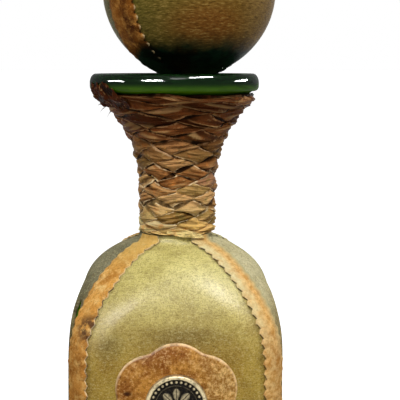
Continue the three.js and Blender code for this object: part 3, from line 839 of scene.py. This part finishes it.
def pinked_edges(along, width, random):
    """Half widths to the left and right of a strip, by teeth along it."""
    count = ceil(along.max()) + 1
    edges = []
    for _ in range(2):
        each = random.uniform(PINK_LEAST, 1, count)[along.astype(int)]
        wander = np.interp(along, np.arange(count), random.normal(0, PINK_WANDER, count))
        edges.append(width / 2 - PINK_DEPTH + PINK_DEPTH * saw(along) * each + wander)
    return edges


def strip_sheet(place, teeth, width, thickness, seed):
    """Outer and inner sheets of a pinked strip, and its marks."""
    random = np.random.default_rng(seed)
    along = np.linspace(0, teeth, teeth * 8 + 1)
    left, right = pinked_edges(along, width, random)
    reach = np.where(STRIP_SHARES < 0, left[:, None], right[:, None])
    across = STRIP_SHARES * reach
    rows = np.broadcast_to(along[:, None], across.shape)
    inset = np.minimum((1 - np.abs(STRIP_SHARES)) * reach / STRIP_THINNED, 1)
    flat = stacked(rows * PINK_PITCH, across)
    wear = 0.14 * MM * ripple(flat, 9 * MM, seed) + 0.06 * MM * ripple(flat, 2.5 * MM, seed + 1)
    outer = place(rows, across, thickness - STRIP_FEATHER * (1 - inset) ** 2 + wear)
    inner = place(rows, across, np.zeros_like(across))
    # lower marks the lower flank of each tooth, where the tan look paints a shadow line.
    marks = {"edge": inset, "across": STRIP_SHARES, "tooth": saw(rows), "lower": rows % 1 < 0.5}
    return outer, inner, marks


def corner_strip(corner, turn, inward, seed):
    """Strip over a corner. inward is the sign of its side on the front or back panel."""
    samples = np.linspace(0, WALL_TOP, 1200)
    lengths = distances(corner_point(samples, QUARTER, STRIP_UNDER + STRIP))
    teeth = round(lengths[-1] / PINK_PITCH)

    def place(rows, across, lift):
        u = np.interp(rows * lengths[-1] / teeth, lengths, samples)
        _, radius, _ = wall_station(u)
        return corner_point(u, QUARTER + across / (radius + STRIP_UNDER + STRIP), STRIP_UNDER + lift)

    outer, inner, marks = strip_sheet(place, teeth, STRIP_WIDTH, STRIP, seed)
    marks["across"] = inward * marks["across"]
    piece = sheet_piece(f"pinked_strip_{corner}", outer, inner, "tan", marks, turn)
    dress(piece, "tan_hide", f"corner_strip_{corner}")


# Plaited neck

def plait_line():
    """Distances, points and headings up the outside of the neck and flare."""
    straight = stacked(NECK, np.linspace(NECK_START, NECK_TOP, 60))
    line = np.r_[straight[:-1], bezier(FLARE_POINTS, np.linspace(0, 1, 120))]
    return distances(line), line, headings(line)


def eased(row):
    """Height in rows of a place along a strand, which turns level at both ends."""
    low, high = 0.8, 0.6
    up = low * np.logaddexp(0, row / low)
    down = high * np.logaddexp(0, (PLAIT_ROWS - up) / high)
    return PLAIT_ROWS - down


def flare_point(distance, turn, off):
    """Point at a distance up the neck and flare, lifted off the glass."""
    lengths, line, heading = PLAIT_LINE
    radius, height, down, out = (np.interp(distance, lengths, row) for row in (*line.T, *heading.T))
    return around(radius + off * out, turn, height - off * down)


def plait_point(right, left, lift, rag=0):
    """Point where a right-hand and a left-hand place of the plait cross."""
    share = eased(left - right) / PLAIT_ROWS
    climb = share * (1 - PLAIT_GROWTH) + share**2 * PLAIT_GROWTH
    distance = climb * (PLAIT_LENGTH - PLAIT_MARGIN) + rag
    turn = (right + left) * pi / STRANDS
    return flare_point(distance, turn, GAP + lift)


def over_under(phase):
    """1 where a strand lies over and 0 where it lies under, by crossings."""
    swing = 0.5 + 0.5 * np.cos(pi * phase)
    share = np.clip((swing - 0.2) / 0.6, 0, 1)
    return share * share * (3 - 2 * share)


def strand(hand, number, seed):
    spin = 2 * pi * (number - 1) / STRANDS
    random = np.random.default_rng(seed)
    start, end = -STRAND_TURNED_END, PLAIT_ROWS + STRAND_TURNED_END
    long, wide = STRAND_STEPS
    row, share = np.meshgrid(np.linspace(start, end, long), np.linspace(-1, 1, wide), indexing="ij")
    leaves = np.arange(-4, PLAIT_ROWS + 5)
    rising = 1 if hand == "right" else -1
    phase = row if hand == "right" else 1 - row

    def by_leaf(low, high):
        return np.interp(row, leaves, random.uniform(low, high, leaves.size))

    over = over_under(phase)
    tilt = by_leaf(-0.5, 0.5) * MM
    width = by_leaf(0.78, 1.1)
    curl = by_leaf(-0.5, 0.2)
    sag = by_leaf(-0.22, 0.22)
    flatness = by_leaf(0.15, 0.65)
    leaf = np.round(phase / 2).astype(int) % leaves.size
    tone, hue = random.uniform(0, 1, (2, leaves.size))[:, leaf]
    place = stacked(row, share) * LEAF_SIZE
    edge_place = stacked(place[..., 0], np.sign(share) * EDGES_APART)
    frayed = 1 + 0.1 * ripple(edge_place, 7 * MM, seed + 20) + 0.04 * ripple(edge_place, 2.2 * MM, seed + 40)
    aside = share * STRAND_HALF * width * (0.86 + 0.16 * over) * frayed
    level = over_under(aside + phase)
    ends = np.clip(np.minimum(row, PLAIT_ROWS - row) / 2, 0, 1)
    climb = row + (sag - rising * flatness * np.sin(pi * row) / pi) * ends
    right = aside + (rising * row - climb) / 2
    left = aside + (rising * row + climb) / 2
    crease = 0.8 * ripple(place * (0.7, 1), 4 * MM, seed) + 0.4 * ripple(place, 2 * MM, seed + 50)
    fold = ripple(place * (0.4, 1.5), 4.5 * MM, seed + 60)
    crown = STRAND_CROWN * (1 - share**2 * (1 - curl)) * (0.25 + 0.75 * level)
    lift = STRAND_STEP * level + crown + tilt * share * level + 0.4 * MM * crease + 0.35 * MM * fold
    lift = np.maximum(lift, 0.02 * MM)
    rag = 1.1 * MM * ripple(place, 6 * MM, seed + 80) * np.clip((row - PLAIT_ROWS + 2) / 2, 0, 1)
    bulk = 1 + PLAIT_UNEVEN * np.sin((right + left) * pi / STRANDS + spin)
    bulk = bulk * (1 + 0.3 * np.sin(pi * np.clip(row / PLAIT_ROWS, 0, 1)))
    padding = PLAIT_PADDING * np.maximum(bulk - 1, 0)
    lift = lift * np.minimum(bulk, 1)
    outer = plait_point(right, left, padding + lift + STRAND, rag)
    inner = plait_point(right, left, padding + lift * 0.9, rag)
    # The marks upper, crease, fold and level steer where the thong look paints shade and highlights.
    marks = {"edge": 1 - np.abs(share), "upper": -rising * share, "tone": tone, "hue": hue}
    marks |= {"crease": crease, "fold": fold, "level": level}
    piece = sheet_piece(f"thong_{hand}_{number}", outer, inner, "thong", marks, spin)
    dress(piece, "brown_thong", f"neck_strand_{hand}_{number}")


def thong_marks(row, share, tone, seed, level=1):
    """Marks of a loose piece of thong."""
    crease = ripple(stacked(row * 10 * MM, share * 5 * MM), 2.5 * MM, seed)
    return {"tone": tone, "level": level, "crease": crease, "edge": 1, "upper": 1, "hue": 0.4, "fold": 0}


def torn_line():
    """Distances and points, as radius and height, up which the torn leather lies."""
    back, off = MM * np.array([(11, 5, 1.5), (2.5, 2.7, 3.2)])
    line = flare_point(PLAIT_LENGTH - back, 0, off)[:, 1:] * (-1, 1)
    line = np.r_[line, [(LIP_RADIUS + 0.2 * MM, LIP_BASE + up) for up in (1.5 * MM, 6 * MM)]]
    return distances(line), line


def torn_flap():
    """Crumpled end of the leather, which has come up over the lip on the left."""
    lengths, line = torn_line()
    share, along = np.meshgrid(np.linspace(-1, 1, 31), np.linspace(0, 1, 90), indexing="ij")
    turn = np.radians(np.interp(along, (0, 1), FLAP_TURN))
    place = stacked(along * FLAP_LENGTH, share * 6 * MM)
    edge_place = stacked(along * FLAP_LENGTH, np.sign(share) * EDGES_APART)
    ragged = 0.6 * MM * ripple(edge_place, 5 * MM, 301) + 0.35 * MM * ripple(edge_place, 2 * MM, 302)
    top = np.interp(along, *FLAP_TOP)
    bottom = np.interp(along, *FLAP_BOTTOM)
    distance = (top + bottom) / 2 + share * ((top - bottom) / 2 + ragged)
    crumple = 0.8 * ripple(place, 7 * MM, 303) + 0.5 * ripple(place, 3 * MM, 305)
    loose = np.clip((along - 0.15) * 4, 0, 1) * (1 - along**6)
    held = FLAP_HELD * np.clip(1 - 3 * along, 0, 1)
    reach = np.interp(distance, lengths, line[:, 0]) + np.maximum(0, crumple + 0.2) * loose * MM - held
    height = np.interp(distance, lengths, line[:, 1])
    inner = around(reach, turn, height)
    outer = around(reach + FLAP, turn, height)
    # level follows the crumple, so the thong look paints shadow in the flap's hollows.
    marks = thong_marks(along * 5, share, 0, 307, np.clip(0.46 + 0.35 * crumple, 0, 1))
    dress(sheet_piece("neck_flap", outer, inner, "thong", marks), "brown_thong")


def loose_end():
    """Tip of a thong that sticks out under the plait at the front."""
    share, along = np.meshgrid(np.linspace(-1, 1, 9), np.linspace(0, 1, 30), indexing="ij")
    turn = np.radians(np.interp(along, (0, 1), LOOSE_TURN))
    half = LOOSE_HALF * dome(along) * np.minimum(1, 0.3 + 2 * along) + 0.05 * MM
    height = NECK_START + MM * (2.2 - 3 * along**2) + share * half
    reach = NECK + MM * (1.9 + 2.2 * along + 0.3 * np.cos(9 * along) - 0.3 * share)
    outer = around(reach + STRAND, turn, height)
    inner = around(reach, turn, height)
    marks = thong_marks(along, share, 0.55, 311)
    dress(sheet_piece("neck_loose_end", outer, inner, "thong", marks), "brown_thong")


def fibre(number, back, turn, heading, length):
    """Thin curled fibre that stands off the torn leather."""
    start = flare_point(PLAIT_LENGTH - back, radians(turn), 3 * MM)
    away = around(1, radians(turn), 0)
    spin = circle(6)[:, None]
    ring = np.cos(spin) * np.cross(away, UP) + np.sin(spin) * UP
    rings = []
    for step in np.linspace(0, 1, 10):
        middle = start + length * (away * step + UP * (heading * step - 0.8 * step**2))
        rings.append(middle + FIBRE_RADIUS * (1 - 0.8 * step) * ring)
    dress(ring_piece(f"neck_fibre_{number}", rings, "thong"), "brown_thong")


# Badge

def drawn_back(height):
    share = np.maximum(0, (height - SPRING) / RISE)
    return HALF - HALF * (1 - share**FULLNESS) ** (1 / FULLNESS)


def patch_stations():
    """Tips and notches of the patch in turn, clockwise from the top."""
    reach = PATCH_REACH - np.array([PATCH_DIP, PATCH_NOTCH, 0, PATCH_WAIST, 0, PATCH_NOTCH] * 2)
    half = np.array([0, NOTCH_TURN, LOBE_TURN, pi / 2, pi - LOBE_TURN, pi - NOTCH_TURN])
    turn = np.r_[half, half + pi]
    return turn, stacked(reach * np.sin(turn), reach * np.cos(turn))


def circle_through(a, b, c):
    """Middle and radius of the circle through three points."""
    middle = np.linalg.solve(2 * np.array([b - a, c - a]), [b @ b - a @ a, c @ c - a @ a])
    return middle, np.linalg.norm(middle - a)


def lobed_reach(turn):
    """Distance to the scalloped edge of the patch, by the direction from the top."""
    turns, stations = patch_stations()
    reach = np.zeros_like(turn)
    for tip in range(0, 12, 2):
        middle, radius = circle_through(*stations[[tip - 1, tip, tip + 1]])
        near = stacked(np.sin(turn), np.cos(turn)) @ middle
        lobe = near + np.sqrt(np.maximum(0, radius**2 - middle @ middle + near**2))
        before = (turns[tip] - turns[tip - 1]) % (2 * pi)
        off = (turn - turns[tip] + before) % (2 * pi)
        reach = np.where(off < before + turns[tip + 1] - turns[tip], lobe, reach)
    return reach


def on_badge(reach, angle):
    """Places across and up, at a reach from the middle of the badge."""
    return BADGE_SHIFT + reach * np.cos(angle), BADGE_HEIGHT + reach * np.sin(angle)


def patch():
    angle = circle(240)
    bends = np.linspace(0, pi / 2, 7)
    inner = np.linspace(PATCH_ROUND, PATCH_REACH * 0.97, 26)[1:]
    insets = np.r_[PATCH_ROUND * (1 - np.cos(bends)), inner]
    puff = PATCH_PUFF * np.maximum(0, 1 - insets / PATCH_PUFF_REACH) ** 2
    drops = np.r_[PATCH_ROUND * (1 - np.sin(bends)), 0 * inner] + puff
    edge = np.mean([lobed_reach(pi / 2 - angle + off) for off in np.linspace(-0.09, 0.09, 9)], 0)
    seat = HALF + PANEL_LIFT + 0.05 * MM
    depth = insets[:, None] / PATCH_REACH
    x, z = on_badge(edge * (1 - depth), angle)
    wave = 0.12 * MM * ripple(stacked(x, z), 12 * MM, 77)
    front = stacked(x, -(seat + PATCH - drops[:, None] + wave) + drawn_back(z), z)
    x, z = on_badge(edge * np.linspace(0.03, 1, 14)[:, None], angle)
    back = stacked(x, drawn_back(z) - seat, z)
    piece = ring_piece("badge_leather", np.r_[back, front], "badge")
    mark(piece, "edge", np.r_[np.zeros(back.shape[:2]), depth * np.ones_like(edge)])
    return dress(piece, "badge_hide", "badge_patch")


def dome(share):
    return np.sqrt(np.maximum(0, 1 - share**2))


def from_nearest(angle, count, shift=0):
    """Angle from the nearest of a count of things in a ring."""
    return ((angle * count / (2 * pi) + 0.5 + shift) % 1 - 0.5) * 2 * pi / count


def relief_height(radius, angle):
    """Height of the medallion's generic relief: a bead ring, a thin ring and a rosette."""
    bead = np.hypot(radius - BEAD_RING, BEAD_RING * from_nearest(angle, BEADS)) / BEAD
    ring = np.abs(radius - THIN_RING) / (0.4 * MM)
    height = np.maximum(0.75 * MM * dome(bead), 0.45 * MM * dome(ring))
    for petals, shift, start, end, width, rise in PETALS:
        off = from_nearest(angle, petals, shift)
        share = np.clip((radius - start) / (end - start), 0, 1)
        half = width * np.sin(pi * share**1.7) ** 0.6 + 1e-9
        aside = np.abs(radius * np.sin(off)) / half
        body = dome(aside) - 0.35 * np.exp(-((radius * off / (0.25 * MM)) ** 2))
        height = np.maximum(height, rise * body * (aside < 1))
    return np.maximum(height, RELIEF * dome(radius / BOSS))


def medallion():
    angle = circle(288)
    face = np.linspace(MEDALLION - MEDALLION_RIM, 0.15 * MM, 64)
    half = MEDALLION_RIM / 2
    rim_radius, rim_height = arc((MEDALLION - half, MEDALLION_THICKNESS - half), half, 0, pi, 9).T
    radius = np.r_[[0.15 * MM, MEDALLION * 0.5, MEDALLION], rim_radius, face]
    base = np.r_[[0, 0, 0], rim_height, np.full(face.size, MEDALLION_THICKNESS - MEDALLION_RECESS)]
    relief = np.zeros((radius.size, angle.size))
    relief[-face.size:] = relief_height(face[:, None], angle)
    depth = HALF + PANEL_LIFT + GAP + PATCH + GAP + base[:, None] + relief
    x, z = on_badge(radius[:, None], angle)
    piece = ring_piece("badge_medallion", stacked(x, -depth, z), "pewter")
    worn = relief / RELIEF
    worn[: -face.size] = 1.1
    mark(piece, "relief", worn)
    dress(piece, "old_pewter", "medallion")


# Stopper

def leaning(points, height=0):
    """Points at a height over the middle of the cork, leaning as the ball does."""
    c, s = cos(LEAN), sin(LEAN)
    return (points + UP * height) @ np.array([[c, 0, -s], [0, 1, 0], [s, 0, c]]) + UP * CORK_MIDDLE


def ball_cover(side, name):
    """Half of the ball's leather, on one side of the band, with half the hole for the stem."""
    spin = circle(160)
    hole = (STEM + GAP) / BALL
    from_hole = np.abs((spin - pi / 2) % (2 * pi) - pi)
    notch = hole * dome(from_hole / hole)
    limit = pi / 2 - np.maximum(COVER_SEAM / 2 / BALL, notch)
    angle = np.linspace(1, 0.004, 60)[:, None] * limit
    out = np.sin(angle)
    direction = stacked(np.cos(spin) * out, np.sin(spin) * out, side * np.cos(angle)) @ BALL_FRAME
    swell = 0.15 * MM * (ripple(direction, 0.9, 5) - 1)
    outer = direction * (BALL + swell)[..., None]
    inner = direction * (BALL - COVER)
    rings = leaning(np.r_[inner[::-1], outer], BALL_MIDDLE)[:, ::-side]
    dress(ring_piece(name, rings, "ball"), "ball_hide", name.replace("hide", "ball_cover"), body="stopper")


def ball_band():
    under = BALL + 0.05 * MM
    end = pi - asin((STEM + 2 * GAP) / under)
    teeth = round(2 * end * (under + BAND) / PINK_PITCH)

    def place(rows, across, lift):
        along = -end + 2 * end * rows / teeth
        spread = across / (under + BAND)
        level = np.cos(spread)
        direction = stacked(np.sin(along) * level, np.cos(along) * level, np.sin(spread)) @ BALL_FRAME
        return leaning(direction * (under + lift)[..., None], BALL_MIDDLE)

    outer, inner, marks = strip_sheet(place, teeth, BAND_WIDTH, BAND, 61)
    dress(sheet_piece("pinked_band", outer, inner, "band", marks), "tan_hide", "ball_band", body="stopper")


def lathe_rings(profile, columns=64):
    return np.array([round_ring(*place, columns) for place in profile])


def stem():
    bottom = CORK_TOP - CORK_MIDDLE - STEM_IN_CORK
    top = BALL_MIDDLE - (BALL - COVER - GAP) + STEM_IN_BALL
    inset = STEM - STEM_CHAMFER
    profile = [(inset, bottom), (STEM, bottom + STEM_CHAMFER), (STEM, top - STEM_CHAMFER), (inset, top)]
    piece = ring_piece("wood_stem", leaning(lathe_rings(profile)), "wood")
    dress(piece, "turned_wood", "stopper_stem", body="stopper")


def cork():
    top = NECK - WALL - GAP
    low = top - CORK_TAPER
    sides = np.linspace(CORK_BOTTOM + CORK_CHAMFER, CORK_TOP - CORK_CHAMFER, 24)
    radii = np.linspace(low, top, 24)
    profile = [(low - CORK_CHAMFER, CORK_BOTTOM), *zip(radii, sides), (top - CORK_CHAMFER, CORK_TOP)]
    outside = lathe_rings(profile)
    pits = np.minimum(0, ripple(outside, 3 * MM, 91) - 0.4) * 0.25 * MM
    outside = outside * (1 + pits / top)[..., None] ** np.array([1, 1, 0])
    hole = lathe_rings([(STEM + GAP, end) for end in (CORK_TOP, CORK_TOP - STEM_IN_CORK - GAP)])
    hole[..., 0] += (hole[..., 2] - CORK_MIDDLE) * tan(LEAN)
    piece = ring_piece("tapered_cork", np.r_[outside, hole], "cork")
    dress(piece, "cork_bark", "stopper_cork", body="stopper")


def core():
    """The hidden wooden ball keeps its solid and takes the wood's look."""
    slots = frame["nodes"]["ball_core"].data.materials
    slots.clear()
    slots.append(LOOKS["wood"])


# Stage

def pale_floor():
    look = Look("pale_floor")
    seen = look.shown()
    paint = look.ramp(seen, 0, 1, 0.9, 0.35)
    glow = {"Emission_Color": WHITE, "Emission_Strength": look.ramp(seen, 0, 1, 0.45)}
    return look.done(Base_Color=paint, Roughness=1, Specular_IOR_Level=0, **glow)


def floor():
    corners = FLOOR_REACH * np.array([(-1, -1, 0), (1, -1, 0), (1, 1, 0), (-1, 1, 0)])
    mesh_object("floor", corners, [[0, 1, 2, 3]], "floor")


def world():
    look = Look("studio", kind="worlds", shader="Background")
    bpy.context.scene.world = look.done(Color=WHITE, Strength=look.ramp(look.shown(), 0, 1, 1, 0.3))


def lamp(name, kind, place, watts, **settings):
    data = bpy.data.lights.new(name, kind)
    data.energy = watts
    for key, value in settings.items():
        setattr(data, key, value)
    holder = new_object(name, data)
    holder.location = place
    holder.rotation_euler = (Vector(LAMPS_AIM) - Vector(place)).to_track_quat("-Z", "Y").to_euler()
    return holder


def lamps():
    lamp("key", "AREA", (0.05, -0.62, 0.85), 5, size=0.25)
    lamp("top", "SUN", (0.1, -0.3, 1.1), 1, angle=SUN_ANGLE)
    lamp("back", "SUN", (0.3, 0.9, 0.6), 0.6, angle=SUN_ANGLE)


def windows(pieces):
    """Lamps that show only in the gloss of some pieces."""
    glossy = bpy.data.collections.new("glossy_pieces")
    for piece in pieces:
        glossy.objects.link(piece)
    for turn, away, height, watts in WINDOWS:
        place = around(away, radians(turn), height)
        window = lamp(f"window_{turn % 360}", "AREA", place, watts, **WINDOW_SHAPE)
        window.visible_diffuse = False
        window.light_linking.receiver_collection = glossy


def camera():
    data = bpy.data.cameras.new("camera")
    data.lens = CAMERA_LENS
    data.clip_start = 0.01
    holder = new_object("camera", data)
    holder.location = CAMERA_PLACE
    holder.rotation_euler = (pi / 2 - CAMERA_PITCH, 0, -CAMERA_YAW)
    bpy.context.scene.camera = holder


LIP_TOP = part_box("glass_bottle")[1].z
PLAIT_LINE = plait_line()
PLAIT_LENGTH = PLAIT_LINE[0][-1]
CORK_BOTTOM = NECK_TOP - CORK_DEPTH
CORK_TOP = CORK_BOTTOM + CORK_LENGTH
CORK_MIDDLE = (CORK_BOTTOM + CORK_TOP) / 2
BALL_MIDDLE = (LIP_TOP + BALL - BALL_DIP - CORK_MIDDLE) / cos(LEAN)
BAND_AWAY = around(1, BAND_TURN, 0)
BALL_FRAME = np.array([BAND_AWAY, UP, np.cross(BAND_AWAY, UP)])
LOOKS = {
    "glass": green_glass(),
    **{name: olive_hide(f"{name}_hide", *shades) for name, shades in HIDES.items()},
    "tan": tan_hide(),
    "band": band_hide(),
    "thong": brown_thong(),
    "badge": badge_hide(),
    "pewter": old_pewter(),
    "ball": ball_hide(),
    "wood": turned_wood(),
    "cork": cork_bark(),
    "floor": pale_floor(),
}

camera()
world()
floor()
lamps()
glossy_pieces = [glass()]
pad()
for i, (side, look) in enumerate(PANELS.items()):
    glossy_pieces.append(panel(side, i * pi / 2, 11 + i, look))
for i, corner in enumerate(CORNERS):
    corner_strip(corner, i * pi / 2, 1 if i % 2 else -1, 31 + 2 * i)
for i in range(STRANDS):
    strand("right", i + 1, 101 + i)
    strand("left", i + 1, 201 + i)
torn_flap()
loose_end()
for i, place in enumerate(FIBRES):
    fibre(i + 1, *place)
glossy_pieces.append(patch())
windows(glossy_pieces)
medallion()
ball_cover(1, "hide_right")
ball_cover(-1, "hide_left")
ball_band()
stem()
cork()
core()

bpy.context.scene.view_settings.view_transform = "Standard"
